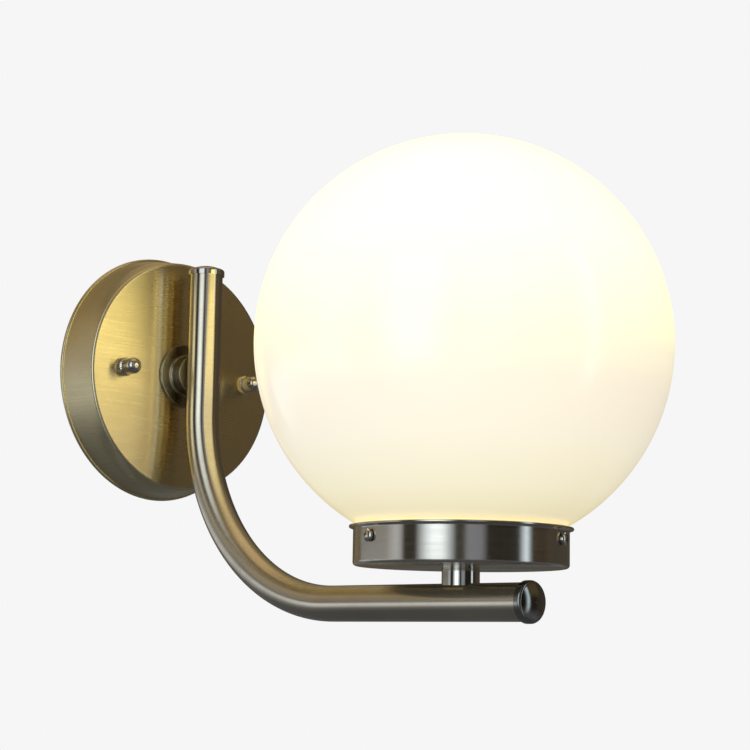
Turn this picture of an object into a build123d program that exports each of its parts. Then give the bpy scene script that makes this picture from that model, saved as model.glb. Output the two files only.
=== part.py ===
from build123d import *
import math
import os

# A globe wall sconce: a dish against the wall, a J-shaped tube arm on its face,
# and an upright cup at the arm's far end that holds an opal glass globe.
# The origin is the middle of the dish's back, on the wall. The wall is the plane y = 0,
# the light stands out along -Y, and +Z is up.

# Driving dimensions, in millimetres
globe_radius = 100.0
globe_wall = 3.0
globe_centre_z = -3.0
neck_radius = 46.5
reach = 229.0            # wall to the globe's axis

tube_radius = 9.0
tube_wall = 1.5
arm_y = -39.0            # axis of the arm's upright run
arm_z = -125.6           # axis of the arm's level run
arm_top_z = 54.3         # cut ends of the tube, before the plugs' heads
arm_front_y = -269.4
bend_radius = 105.0
plug_radius = 9.9
plug_rim = 2.2           # straight edge of the head, its rounded corner, and the dome on it
plug_corner = 1.5
plug_dome = 1.8
plug_spigot = 8.0

canopy_depth = 22.6
canopy_back_radius = 68.0
canopy_face_radius = 62.9
canopy_corner = 1.8
canopy_bead = 1.1
sheet = 1.2

stud_x = 43.0
stud_radius = 2.0
stud_hole = 2.3
nut_clearance = 0.05

nipple_radius = 5.0
nipple_bore = 4.0
nipple_hole = 5.2

cup_radius = 51.0
cup_lip_radius = 53.0
cup_floor_z = -109.2
cup_top_z = -90.2
cup_lip_thick = 1.2
cup_corner = 1.6
screw_z = -96.5
screw_angles = (-17.0, 103.0, 223.0)

wire_radius = 1.1
wire_offset = 1.6

face_y = -canopy_depth
face_inner_y = face_y + sheet
tube_bore = tube_radius - tube_wall

os.makedirs("parts", exist_ok=True)


def save(name, shape, colour):
    shape.label = name
    shape.color = Color(*colour)
    export_step(shape, f"parts/{name}.step")


def turned_up(outline, x=0.0, y=0.0):
    """Turn an outline of (radius, height) points about an upright axis at x, y."""
    wire = Polyline(*[(r, 0, z) for r, z in outline], close=True)
    return Pos(x, y, 0) * revolve(make_face(wire), Axis.Z)


def turned_out(outline, x=0.0, z=0.0):
    """Turn an outline of (radius, y) points about an axis along Y at x, z."""
    wire = Polyline(*[(r, y, 0) for r, y in outline], close=True)
    return Pos(x, 0, z) * revolve(make_face(wire), Axis.Y)


def rounded_up(outline, radii, x=0.0, y=0.0):
    """As turned_up, with a radius for each corner of the outline."""
    wire = FilletPolyline(*[(r, 0, z) for r, z in outline], radius=radii, close=True)
    return Pos(x, y, 0) * revolve(make_face(wire), Axis.Z)


def rounded_out(outline, radii, x=0.0, z=0.0):
    """As turned_out, with a radius for each corner of the outline."""
    wire = FilletPolyline(*[(r, y, 0) for r, y in outline], radius=radii, close=True)
    return Pos(x, 0, z) * revolve(make_face(wire), Axis.Y)


def bar_along_y(radius, y_from, y_to, x=0.0, z=0.0):
    """A round bar along Y between two y values."""
    length = abs(y_to - y_from)
    return Pos(x, (y_from + y_to) / 2, z) * Rot(90, 0, 0) * Cylinder(radius, length)


def bar_up(radius, z_from, z_to, x=0.0, y=0.0):
    """A round bar along Z between two heights."""
    return Pos(x, y, (z_from + z_to) / 2) * Cylinder(radius, abs(z_to - z_from))


def block(x_from, x_to, y_from, y_to, z_from, z_to):
    """A rectangular block between pairs of coordinates."""
    size = (abs(x_to - x_from), abs(y_to - y_from), abs(z_to - z_from))
    centre = ((x_from + x_to) / 2, (y_from + y_to) / 2, (z_from + z_to) / 2)
    return Pos(*centre) * Box(*size)


def hexagon_along_y(across_flats, y_from, y_to, x=0.0, z=0.0):
    """A hexagonal prism along Y."""
    plane = Plane((x, y_from, z), x_dir=(1, 0, 0), z_dir=(0, -1, 0))
    corner = across_flats / math.sqrt(3)
    return extrude(plane * RegularPolygon(corner, 6), abs(y_to - y_from))


def dome_arc(radius, height, base):
    """A dome's outline: an arc from its rim up to the axis, with its centre on the axis."""
    sphere = (radius ** 2 + height ** 2) / (2 * height)
    half = radius / 2
    middle = base + height - sphere + math.sqrt(sphere ** 2 - half ** 2)
    return ThreePointArc((radius, 0, base), (half, 0, middle), (0, 0, base + height))


def tube_along(points, radii, radius):
    """A round tube's solid along straight runs joined by tangent arcs."""
    path = FilletPolyline(*points, radius=radii)
    section = Plane(path @ 0, z_dir=path % 0) * Circle(radius)
    return sweep(section, path=path), path.length


# Dish, or canopy: spun sheet with a rolled bead at the wall

def make_canopy():
    side_radius = canopy_back_radius - sheet
    side_inner = side_radius - sheet
    bead_radius = canopy_back_radius - canopy_bead
    bead_front = -2 * canopy_bead
    flare = 4.0
    inner_corner = canopy_corner - sheet
    outline = [
        (nipple_hole, face_y),
        (canopy_face_radius, face_y),
        (side_radius, bead_front),
        (side_radius, -canopy_bead),
        (side_inner, -canopy_bead),
        (side_inner, bead_front),
        (canopy_face_radius - sheet, face_inner_y),
        (nipple_hole, face_inner_y),
    ]
    shell = rounded_out(outline, [0, canopy_corner, flare, 0, 0, flare, inner_corner, 0])
    rim = turned_out([(side_inner, 0), (bead_radius, 0), (bead_radius, bead_front), (side_inner, bead_front)])
    roll = Pos(0, -canopy_bead, 0) * Rot(90, 0, 0) * Torus(bead_radius, canopy_bead)
    dish = shell + rim + roll
    for side in (-1, 1):
        dish -= bar_along_y(stud_hole, face_y - 1, face_inner_y + 1, x=side * stud_x)
    return dish


# Steel strap behind the dish: slotted for the wall screws, with raised ends for the studs
# and a tab below for the terminal block

strap_half = 8.0
strap_thick = 2.0
strap_raise = 4.0
strap_half_length = 52.0
slot_x = 24.0
slot_length = 16.0
slot_radius = 2.3
strap_corner = 5.0
cable_hole = 7.0
tab_half = 13.0
tab_corner = 4.0
tab_bottom_z = -43.0
earth_x = 11.5


def make_wall_bracket():
    flat_end = 34.0
    raised_start = 37.5
    bend_shift = 0.9         # keeps the sloping run as thick as the flat ones
    raised_front = -strap_raise - strap_thick
    path = [
        (-strap_half_length, -strap_raise), (-raised_start, -strap_raise), (-flat_end, 0),
        (flat_end, 0), (raised_start, -strap_raise), (strap_half_length, -strap_raise),
        (strap_half_length, raised_front), (raised_start - bend_shift, raised_front),
        (flat_end - bend_shift, -strap_thick), (-flat_end + bend_shift, -strap_thick),
        (-raised_start + bend_shift, raised_front), (-strap_half_length, raised_front),
    ]
    side = make_face(Polyline(*[(x, y, 0) for x, y in path], close=True))
    strap = Pos(0, 0, -strap_half) * extrude(side, 2 * strap_half, dir=(0, 0, 1))
    ends = strap.edges().filter_by(Axis.Y).filter_by(lambda e: abs(e.center().X) > strap_half_length - 0.1)
    strap = fillet(ends, strap_corner)
    tab = block(-tab_half, tab_half, -strap_thick, 0, tab_bottom_z, -strap_half + 1)
    tab = fillet(tab.edges().filter_by(Axis.Y).group_by(Axis.Z)[0], tab_corner)
    strap += tab
    for side_sign in (-1, 1):
        slot = Plane((side_sign * slot_x, 1, 0), x_dir=(1, 0, 0), z_dir=(0, -1, 0)) * SlotOverall(
            slot_length, 2 * slot_radius)
        strap -= extrude(slot, strap_thick + 2)
        strap -= bar_along_y(stud_radius, 0, -10, x=side_sign * stud_x)
        strap -= bar_along_y(block_screw_radius, 1, -5, x=side_sign * block_screw_x, z=block_z)
    strap -= bar_along_y(cable_hole, 1, -5)
    strap -= bar_along_y(earth_screw_radius, 1, -5, x=earth_x)
    return strap


# Studs: cheese-headed screws put through the strap from behind, and their lock nuts

stud_head_back_y = -1.2
stud_head_radius = 3.6
stud_end_y = -31.0
stud_bevel = 0.5
lock_nut_flats = 7.0
lock_nut_thick = 3.2


def make_canopy_stud(x):
    platform_back = -strap_raise
    head = bar_along_y(stud_head_radius, stud_head_back_y, platform_back, x=x)
    head = chamfer(head.edges().group_by(Axis.Y)[-1], stud_bevel)
    shank = bar_along_y(stud_radius, platform_back, stud_end_y, x=x)
    shank = chamfer(shank.edges().group_by(Axis.Y)[0], stud_bevel)
    return head + shank


def make_stud_lock_nut(x):
    front = -strap_raise - strap_thick
    nut = hexagon_along_y(lock_nut_flats, front, front - lock_nut_thick, x=x)
    return nut - bar_along_y(stud_radius, front + 1, front - lock_nut_thick - 1, x=x)


flange_radius = 5.0
flange_thick = 4.4
flange_bevel = 0.8
dome_radius = 4.4
groove_radius = 3.8
groove_width = 0.5
nut_length = 13.3


def make_cap_nut(x):
    """A cap nut: a thick round flange for the fingers, a narrow groove and a bullet-shaped dome."""
    foot = face_y - nut_clearance
    bore = stud_radius + nut_clearance
    bore_end = stud_end_y - 1.25
    edge = flange_radius - flange_bevel
    flange_front = foot - flange_thick
    groove_front = flange_front - groove_width
    dome_y = foot - nut_length + dome_radius
    tip = (0, foot - nut_length, 0)
    outline = Polyline((0, bore_end, 0), (bore, bore_end, 0), (bore, foot, 0), (edge, foot, 0),
                       (flange_radius, foot - flange_bevel, 0),
                       (flange_radius, flange_front + flange_bevel, 0),
                       (edge, flange_front, 0), (groove_radius, flange_front, 0),
                       (groove_radius, groove_front, 0),
                       (dome_radius, groove_front - 0.3, 0),
                       (dome_radius, dome_y, 0))
    slant = dome_radius * math.sin(math.radians(45))
    dome = ThreePointArc((dome_radius, dome_y, 0), (slant, dome_y - slant, 0), tip)
    close = Line(tip, (0, bore_end, 0))
    return Pos(x, 0, 0) * revolve(make_face(outline + dome + close), Axis.Y)


# Arm: one bent tube with a plug in each end, held off the dish by a flared standoff

def arm_path():
    return [(0, arm_y, arm_top_z), (0, arm_y, arm_z), (0, arm_front_y, arm_z)]


def make_arm_tube():
    outer, _ = tube_along(arm_path(), [bend_radius], tube_radius)
    inner, _ = tube_along(arm_path(), [bend_radius], tube_bore)
    tube = outer - inner
    tube -= bar_along_y(nipple_radius, face_y, arm_y)
    tube -= bar_up(nipple_radius, arm_z, cup_floor_z, y=-reach)
    return tube


def make_plug():
    """A domed end plug, standing up from the tube's cut end at the origin."""
    shoulder = plug_radius - plug_corner
    shoulder_h = plug_rim + plug_corner
    tip_h = shoulder_h + plug_dome
    sine = math.sin(math.radians(45))
    crown = dome_arc(shoulder, plug_dome, shoulder_h)
    corner_middle = (shoulder + plug_corner * sine, 0, plug_rim + plug_corner * sine)
    corner = ThreePointArc((shoulder, 0, shoulder_h), corner_middle, (plug_radius, 0, plug_rim))
    rest = Polyline((plug_radius, 0, plug_rim), (plug_radius, 0, 0), (tube_bore, 0, 0),
                    (tube_bore, 0, -plug_spigot), (0, 0, -plug_spigot), (0, 0, tip_h))
    return revolve(make_face(crown + corner + rest), Axis.Z)


boss_radius = 10.5
boss_flange_radius = 17.5
boss_flange_thick = 1.5
saddle_depth = 1.2       # how far the boss and the stem sit down over the tube


def make_standoff():
    """A flanged sleeve between the dish and the arm, its end hollowed to sit on the tube."""
    saddle = bar_up(tube_radius, -30, 30, y=arm_y)
    flange_front = face_y - boss_flange_thick
    end_y = arm_y + tube_radius - saddle_depth
    outline = [(nipple_hole, face_y), (boss_flange_radius, face_y), (boss_flange_radius, flange_front),
               (boss_radius, flange_front), (boss_radius, end_y), (nipple_hole, end_y)]
    body = rounded_out(outline, [0, 0, 0.9, 1.6, 0.5, 0])
    return body - saddle


arm_nipple_back_y = -14.0
nipple_inside = 1.5      # how far each threaded pipe stands inside the tube's bore


def make_arm_nipple():
    pipe = bar_along_y(nipple_radius, arm_nipple_back_y, arm_y + tube_bore - nipple_inside)
    return pipe - bar_along_y(nipple_bore, arm_nipple_back_y + 1, arm_y)


washer_radius = 9.5
washer_thick = 1.2
nipple_nut_flats = 14.0
nipple_nut_thick = 3.4


def make_arm_washer():
    front = face_inner_y
    back = front + washer_thick
    return bar_along_y(washer_radius, front, back) - bar_along_y(nipple_hole, front - 1, back + 1)


def make_arm_nut():
    front = face_inner_y + washer_thick
    nut = hexagon_along_y(nipple_nut_flats, front + nipple_nut_thick, front)
    return nut - bar_along_y(nipple_radius, front - 1, front + 6)


# Stem, cup and what holds them to the arm

stem_radius = 9.0


def make_stem():
    """A short polished sleeve, its foot hollowed to sit on the tube."""
    saddle = Pos(0, -reach, arm_z) * Rot(90, 0, 0) * Cylinder(tube_radius, 40)
    foot = arm_z + tube_radius - saddle_depth
    body = bar_up(stem_radius, foot, cup_floor_z, y=-reach)
    body -= bar_up(nipple_hole, foot - 1, cup_floor_z + 1, y=-reach)
    return body - saddle


stem_nipple_top_z = -96.0


def make_stem_nipple():
    pipe = bar_up(nipple_radius, arm_z + tube_bore - nipple_inside, stem_nipple_top_z, y=-reach)
    return pipe - bar_up(nipple_bore, arm_z, stem_nipple_top_z + 1, y=-reach)


cup_inner_floor_z = cup_floor_z + sheet
screw_radius = 2.0
screw_hole = 2.06
screw_head_radius = 3.0
screw_head_gap = 0.4     # cup wall to the head's underside when the screw is home
screw_head_rim = 1.2
screw_head_dome = 1.2
collar_radius = 3.6
collar_in = 2.2


def make_cup():
    """A pressed cup with an outward lip, and a tapped collar inside it for each screw."""
    wall_in = cup_radius - sheet
    lip_under = cup_top_z - cup_lip_thick
    lip_edge = 0.5
    outline = [
        (nipple_hole, cup_floor_z), (cup_radius, cup_floor_z), (cup_radius, lip_under - 0.4),
        (cup_lip_radius, lip_under), (cup_lip_radius, cup_top_z), (wall_in, cup_top_z),
        (wall_in, cup_inner_floor_z), (nipple_hole, cup_inner_floor_z),
    ]
    inner_corner = cup_corner - sheet
    radii = [0, cup_corner, 0.8, lip_edge, lip_edge, lip_edge, inner_corner, 0]
    cup = rounded_up(outline, radii, y=-reach)
    for angle in screw_angles:
        cup += radial_bar(collar_radius, wall_in - collar_in, wall_in + sheet / 2, angle)
    for angle in screw_angles:
        cup -= radial_bar(screw_hole, wall_in - collar_in - 1, cup_radius + 1, angle)
    return cup


def radial_bar(radius, r_from, r_to, angle):
    """A round bar along a radius of the cup, at an angle from straight out toward -X."""
    bar = Pos((r_from + r_to) / 2, 0, 0) * Rot(0, 90, 0) * Cylinder(radius, r_to - r_from)
    return Pos(0, -reach, screw_z) * Rot(0, 0, -90 - angle) * bar


def make_globe_screw(angle):
    """A short screw with a low domed head, its blunt tip against the globe's neck."""
    point = 0.8
    tip = neck_radius + 0.05
    shank_end = cup_radius + screw_head_gap
    rim_end = shank_end + screw_head_rim
    crown = (0, 0, rim_end + screw_head_dome)
    outline = Polyline(crown, (0, 0, tip), (screw_radius - point, 0, tip), (screw_radius, 0, tip + point),
                       (screw_radius, 0, shank_end), (screw_head_radius, 0, shank_end),
                       (screw_head_radius, 0, rim_end))
    dome = dome_arc(screw_head_radius, screw_head_dome, rim_end)
    screw = revolve(make_face(outline + dome), Axis.Z)
    return Pos(0, -reach, screw_z) * Rot(0, 0, -90 - angle) * Rot(0, 90, 0) * screw


fitter_washer_radius = 11.0


def make_fitter_washer():
    top = cup_inner_floor_z + washer_thick
    disc = bar_up(fitter_washer_radius, cup_inner_floor_z, top, y=-reach)
    return disc - bar_up(nipple_hole, cup_inner_floor_z - 1, top + 1, y=-reach)


def make_fitter_nut():
    bottom = cup_inner_floor_z + washer_thick
    plane = Plane((0, -reach, bottom))
    nut = extrude(plane * RegularPolygon(nipple_nut_flats / math.sqrt(3), 6), nipple_nut_thick)
    return nut - bar_up(nipple_radius, bottom - 1, bottom + 6, y=-reach)


# Globe: blown opal sphere with a short straight neck

globe_lip_z = cup_inner_floor_z


def make_globe():
    def half(radius, neck, bottom):
        join_z = globe_centre_z - math.sqrt(radius ** 2 - neck ** 2)
        top = (0, globe_centre_z + radius)
        side = (radius, globe_centre_z)
        return join_z, top, side, (neck, join_z), (neck, bottom)

    _, top, side, join, foot = half(globe_radius, neck_radius, globe_lip_z)
    inner_r = globe_radius - globe_wall
    _, in_top, in_side, in_join, in_foot = half(inner_r, neck_radius - globe_wall, globe_lip_z)

    def at(point):
        return (point[0], 0, point[1])

    lip = 1.0
    wire = (
        ThreePointArc(at(top), at(side), at(join))
        + Line(at(join), (foot[0], 0, foot[1] + lip))
        + ThreePointArc((foot[0], 0, foot[1] + lip), ((foot[0] + in_foot[0]) / 2, 0, foot[1]),
                        (in_foot[0], 0, in_foot[1] + lip))
        + Line((in_foot[0], 0, in_foot[1] + lip), at(in_join))
        + ThreePointArc(at(in_join), at(in_side), at(in_top))
        + Line(at(in_top), at(top))
    )
    return Pos(0, -reach, 0) * revolve(make_face(wire), Axis.Z)


# Lampholder: a cap screwed on the nipple, a ceramic insert with the contacts, and a sleeve

holder_radius = 19.0
holder_wall = 2.0
holder_base_z = cup_inner_floor_z + washer_thick + nipple_nut_thick
cap_top_z = -74.0
insert_bottom_z = -78.0
insert_top_z = -68.0
insert_neck = 4.0
well_radius = 8.0
well_depth = 3.0
sleeve_top_z = -48.0
shell_inner_radius = 13.15
shell_wall = 0.45
bulb_tip_z = -66.0


def make_holder_cap():
    """The cap: a cone-shaped foot with a tapped boss in it, opening to a straight cup."""
    foot_radius = 11.0
    foot_height = 7.0
    boss_outer = 9.0
    boss_height = 5.0
    boss_top = stem_nipple_top_z
    inner = holder_radius - holder_wall
    outline = [
        (nipple_radius, holder_base_z), (foot_radius, holder_base_z),
        (holder_radius, holder_base_z + foot_height), (holder_radius, cap_top_z), (inner, cap_top_z),
        (inner, boss_top - holder_wall), (boss_outer, boss_top - boss_height), (boss_outer, boss_top),
        (nipple_radius, boss_top),
    ]
    return rounded_up(outline, [0, 2.0, 4.0, 0.4, 0, 2.0, 0, 0, 0], y=-reach)


def make_holder_insert():
    inner = holder_radius - holder_wall
    body = bar_up(inner, insert_bottom_z, insert_top_z - insert_neck, y=-reach)
    neck = bar_up(shell_inner_radius + shell_wall, insert_top_z - insert_neck, insert_top_z, y=-reach)
    well = bar_up(well_radius, insert_top_z - well_depth, insert_top_z + 1, y=-reach)
    return body + neck - well


def make_holder_sleeve():
    """The sleeve: a tube that meets the cap, with an inward lip and a raised rim at its mouth."""
    rim_height = 3.0
    rim_inner = holder_radius - 1.2
    lip_thick = 1.6
    inner = holder_radius - holder_wall
    bore = shell_inner_radius + shell_wall + 0.6
    outline = [
        (inner, cap_top_z), (holder_radius, cap_top_z), (holder_radius, sleeve_top_z + rim_height),
        (rim_inner, sleeve_top_z + rim_height), (rim_inner, sleeve_top_z), (bore, sleeve_top_z),
        (bore, sleeve_top_z - lip_thick), (inner, sleeve_top_z - lip_thick),
    ]
    return rounded_up(outline, [0, 0.4, 0.8, 0, 0.6, 0.5, 0, 0], y=-reach)


def make_screw_shell():
    outer = shell_inner_radius + shell_wall
    top = sleeve_top_z - 2.5
    shell = bar_up(outer, insert_top_z, top, y=-reach)
    return shell - bar_up(shell_inner_radius, insert_top_z - 1, top + 1, y=-reach)


contact_gap = 0.1
contact_thick = 0.5
contact_width = 5.0


def make_centre_contact():
    """A sprung brass tongue: a foot in the insert's well, a sloping leg and a flat pad."""
    well = insert_top_z - well_depth
    pad = bulb_tip_z - contact_gap
    under = pad - contact_thick
    foot_top = well + contact_thick
    foot_reach = 5.5
    pad_end = 3.5
    outline = Polyline((foot_reach, 0, well), (-foot_reach, 0, well), (-1.5, 0, pad), (pad_end, 0, pad),
                       (pad_end, 0, under), (-1.15, 0, under), (-4.8, 0, foot_top), (foot_reach, 0, foot_top),
                       close=True)
    strip = extrude(make_face(outline), contact_width / 2, both=True, dir=(0, 1, 0))
    return Pos(0, -reach, 0) * strip


terminal_x = 9.0
terminal_half = 2.6
terminal_height = 6.0


def make_holder_terminal(side):
    x = side * terminal_x
    bottom = insert_bottom_z - terminal_height
    body = block(x - terminal_half, x + terminal_half, -reach - terminal_half, -reach + terminal_half,
                 bottom, insert_bottom_z)
    face = -reach - terminal_half
    screw = bar_along_y(1.5, face, face - 2.0, x=x, z=bottom + terminal_height / 2)
    return body + screw - bar_up(wire_radius, bottom - 1, bottom + 4, x=x, y=-reach)


# Bulb: a standard 60 mm pear lamp on a 27 mm screw cap

bulb_cap_radius = 13.0
bulb_cap_top_z = bulb_tip_z + 26.0
bulb_radius = 30.0
bulb_length = 108.0
bulb_glass = 1.0
bulb_neck_radius = 12.6
bulb_shoulder = 6.0      # straight neck above the cap, and what the cap covers of it
bulb_tuck = 4.0
crown_end = -28.0        # angle below level where the crown's arc runs into the flank


def make_bulb_glass():
    """A blown pear: a round crown, a flank that draws in, and a straight neck."""
    top = bulb_tip_z + bulb_length
    centre_z = top - bulb_radius
    shoulder_z = bulb_cap_top_z + bulb_shoulder
    bottom = bulb_cap_top_z - bulb_tuck

    def outline(inset):
        r = bulb_radius - inset
        neck = bulb_neck_radius - inset

        def crown_point(degrees):
            angle = math.radians(degrees)
            return (r * math.cos(angle), 0, centre_z + r * math.sin(angle))

        end_way = math.radians(crown_end - 90)
        crown = ThreePointArc(crown_point(90), crown_point((90 + crown_end) / 2), crown_point(crown_end))
        flank = Spline(crown_point(crown_end), (neck, 0, shoulder_z),
                       tangents=((math.cos(end_way), 0, math.sin(end_way)), (0, 0, -1)))
        return crown, flank, neck

    crown, flank, neck = outline(0)
    in_crown, in_flank, in_neck = outline(bulb_glass)
    wire = (crown + flank
            + Polyline((neck, 0, shoulder_z), (neck, 0, bottom), (in_neck, 0, bottom),
                       (in_neck, 0, shoulder_z))
            + in_flank + in_crown
            + Line((0, 0, top - bulb_glass), (0, 0, top)))
    return Pos(0, -reach, 0) * revolve(make_face(wire), Axis.Z)


bulb_cap_floor_z = bulb_tip_z + 5.5
bulb_cap_hole = 6.0
bulb_foil = 0.8
bulb_contact_radius = 4.5
bulb_contact_top_z = bulb_tip_z + 1.2


def make_bulb_cap():
    """The screw cap's shell, coned in at the bottom round the insulator."""
    floor = bulb_cap_floor_z
    cone_radius = 8.5
    cone_height = 3.5
    outline = [(bulb_cap_hole, floor), (cone_radius, floor), (bulb_cap_radius, floor + cone_height),
               (bulb_cap_radius, bulb_cap_top_z), (bulb_neck_radius, bulb_cap_top_z),
               (bulb_neck_radius, floor + cone_height + 1.0), (cone_radius - 0.5, floor + bulb_foil),
               (bulb_cap_hole, floor + bulb_foil)]
    return turned_up(outline, y=-reach)


def make_bulb_insulator():
    """A glass cone that fills the cap's floor."""
    floor = bulb_cap_floor_z
    outline = [(0, bulb_contact_top_z), (5.0, bulb_contact_top_z), (8.0, floor), (bulb_cap_hole, floor),
               (bulb_cap_hole, floor + bulb_foil), (0, floor + bulb_foil)]
    return turned_up(outline, y=-reach)


def make_bulb_contact():
    """The solder button at the bulb's tip."""
    outline = [(0, bulb_tip_z), (3.0, bulb_tip_z), (bulb_contact_radius, bulb_tip_z + 0.8),
               (bulb_contact_radius, bulb_contact_top_z), (0, bulb_contact_top_z)]
    return turned_up(outline, y=-reach)


# Terminal block on the strap's tab, its screws, the wires and the earth fixing

block_z = -33.0
block_half_x = 14.0
block_half_z = 8.0
block_depth = 12.0
block_web_depth = 9.0
block_screw_x = 4.75
block_screw_radius = 1.4
block_screw_head = 2.0
pole_pitch = 9.5
tower_half = 2.65
tower_half_z = 7.0
clamp_radius = 2.6
clamp_bore = 1.5
clamp_half_z = 6.5
clamp_screw_radius = 1.2
clamp_screw_z = 4.0      # either side of the block's middle
clamp_screw_end_y = -12.4
screw_well_radius = 1.7
wire_y = -8.0
wire_start_z = block_z + 3.0
earth_screw_radius = 1.9
earth_head_radius = 3.4
earth_head_height = 2.2
screw_end_y = -0.3       # screws in the strap end just short of the wall


def make_terminal_block():
    """A three-way block: a tower over each pole, bored through for its clamp and its two screws."""
    front = -strap_thick - block_depth
    web_front = -strap_thick - block_web_depth
    body = block(-block_half_x, block_half_x, -strap_thick, web_front,
                 block_z - block_half_z, block_z + block_half_z)
    for pole in (-1, 0, 1):
        x = pole * pole_pitch
        tower = block(x - tower_half, x + tower_half, front, web_front + 1,
                      block_z - tower_half_z, block_z + tower_half_z)
        tower = fillet(tower.edges().filter_by(Axis.Y), 1.0)
        body += tower
    for pole in (-1, 0, 1):
        x = pole * pole_pitch
        body -= bar_up(clamp_radius, block_z - block_half_z - 1, block_z + block_half_z + 1, x=x, y=wire_y)
        for end in (-1, 1):
            body -= bar_along_y(screw_well_radius, wire_y, front - 1, x=x, z=block_z + clamp_screw_z * end)
    for side in (-1, 1):
        body -= bar_along_y(block_screw_radius, 0, front - 1, x=side * block_screw_x, z=block_z)
    return body


def make_block_clamp(pole):
    """A brass tube with its two clamp screws, their tips just inside its bore's wall."""
    x = pole * pole_pitch
    screw_tip_y = wire_y - clamp_bore - 0.3
    tube = bar_up(clamp_radius, block_z - clamp_half_z, block_z + clamp_half_z, x=x, y=wire_y)
    tube -= bar_up(clamp_bore, block_z - clamp_half_z - 1, block_z + clamp_half_z + 1, x=x, y=wire_y)
    for end in (-1, 1):
        screw_z = block_z + clamp_screw_z * end
        tube -= bar_along_y(clamp_screw_radius, wire_y, wire_y - clamp_radius - 1, x=x, z=screw_z)
        tube += bar_along_y(clamp_screw_radius, screw_tip_y, clamp_screw_end_y, x=x, z=screw_z)
    return tube


def make_block_screw(x):
    seat = -strap_thick - block_web_depth
    shank = bar_along_y(block_screw_radius, screw_end_y, seat, x=x, z=block_z)
    head = bar_along_y(block_screw_head, seat, seat - 1.6, x=x, z=block_z)
    return shank + head


def lamp_wire_route(side):
    """Terminal block, up behind the dish, through the arm, and up into the lampholder."""
    pole_x = -pole_pitch if side < 0 else 0.0
    x = side * wire_offset
    return [
        (pole_x, wire_y, wire_start_z),
        (pole_x, wire_y, -20.0),
        (x, wire_y, -12.0),
        (x, wire_y, 0.0),
        (x, arm_y, 0.0),
        (x, arm_y, arm_z),
        (x, -reach, arm_z),
        (x, -reach, stem_nipple_top_z + 1.0),
        (side * terminal_x, -reach, -89.5),
        (side * terminal_x, -reach, insert_bottom_z - terminal_height + 4),
    ]


def make_lamp_wire(side):
    radii = [4.0, 4.0, 5.0, 5.5, bend_radius, 5.5, 3.0, 2.5]
    return tube_along(lamp_wire_route(side), radii, wire_radius)


def make_earth_wire():
    route = [(pole_pitch, wire_y, wire_start_z), (pole_pitch, wire_y, -18.0),
             (earth_x + 1.5, -4.6, -11.0), (earth_x, -4.6, -4.5)]
    return tube_along(route, [4.0, 3.5], wire_radius)


lug_thick = 0.8
lug_radius = 4.0


def make_earth_lug():
    """A ring terminal: a flat eye with a tongue that the wire's end is crimped to."""
    front = -strap_thick - lug_thick
    eye = bar_along_y(lug_radius, -strap_thick, front, x=earth_x)
    eye -= bar_along_y(earth_screw_radius, 0, front - 1, x=earth_x)
    neck = block(earth_x - 1.5, earth_x + 1.5, -strap_thick, front, -5.5, -3)
    return eye + neck


def make_earth_screw():
    seat = -strap_thick - lug_thick
    shank = bar_along_y(earth_screw_radius, screw_end_y, seat, x=earth_x)
    head = bar_along_y(earth_head_radius, seat, seat - earth_head_height, x=earth_x)
    head = fillet(head.edges().group_by(Axis.Y)[0], 1.0)
    return shank + head


steel = (0.62, 0.60, 0.57)
chrome = (0.80, 0.81, 0.83)
brass = (0.80, 0.65, 0.30)
glass = (0.97, 0.94, 0.88)
ceramic = (0.92, 0.92, 0.90)
plastic = (0.95, 0.95, 0.93)
black = (0.08, 0.08, 0.08)
brown = (0.40, 0.22, 0.10)
blue = (0.10, 0.25, 0.65)
green = (0.35, 0.60, 0.15)

save("canopy_plate", make_canopy(), steel)
save("wall_bracket", make_wall_bracket(), chrome)
save("canopy_studs", Compound([make_canopy_stud(-stud_x), make_canopy_stud(stud_x)]), chrome)
save("stud_lock_nuts", Compound([make_stud_lock_nut(-stud_x), make_stud_lock_nut(stud_x)]), chrome)
save("cap_nut_left", make_cap_nut(-stud_x), chrome)
save("cap_nut_right", make_cap_nut(stud_x), chrome)

save("arm_tube", make_arm_tube(), steel)
save("arm_top_plug", Pos(0, arm_y, arm_top_z) * make_plug(), steel)
save("arm_front_plug", Pos(0, arm_front_y, arm_z) * Rot(90, 0, 0) * make_plug(), steel)
save("arm_standoff", make_standoff(), steel)
save("arm_nipple", make_arm_nipple(), brass)
save("arm_nipple_washer", make_arm_washer(), chrome)
save("arm_nipple_nut", make_arm_nut(), brass)

save("fitter_stem", make_stem(), chrome)
save("stem_nipple", make_stem_nipple(), brass)
save("fitter_cup", make_cup(), steel)
save("fitter_washer", make_fitter_washer(), chrome)
save("fitter_nut", make_fitter_nut(), brass)
for number, screw_angle in enumerate(screw_angles, start=1):
    save(f"globe_screw_{number}", make_globe_screw(screw_angle), chrome)
save("glass_globe", make_globe(), glass)

save("lampholder_cap", make_holder_cap(), plastic)
save("lampholder_insert", make_holder_insert(), ceramic)
save("lampholder_sleeve", make_holder_sleeve(), plastic)
save("lampholder_screw_shell", make_screw_shell(), brass)
save("lampholder_centre_contact", make_centre_contact(), brass)
save("lampholder_terminals", Compound([make_holder_terminal(-1), make_holder_terminal(1)]), brass)

save("bulb_glass", make_bulb_glass(), glass)
save("bulb_cap", make_bulb_cap(), brass)
save("bulb_insulator", make_bulb_insulator(), black)
save("bulb_contact", make_bulb_contact(), brass)

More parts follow.
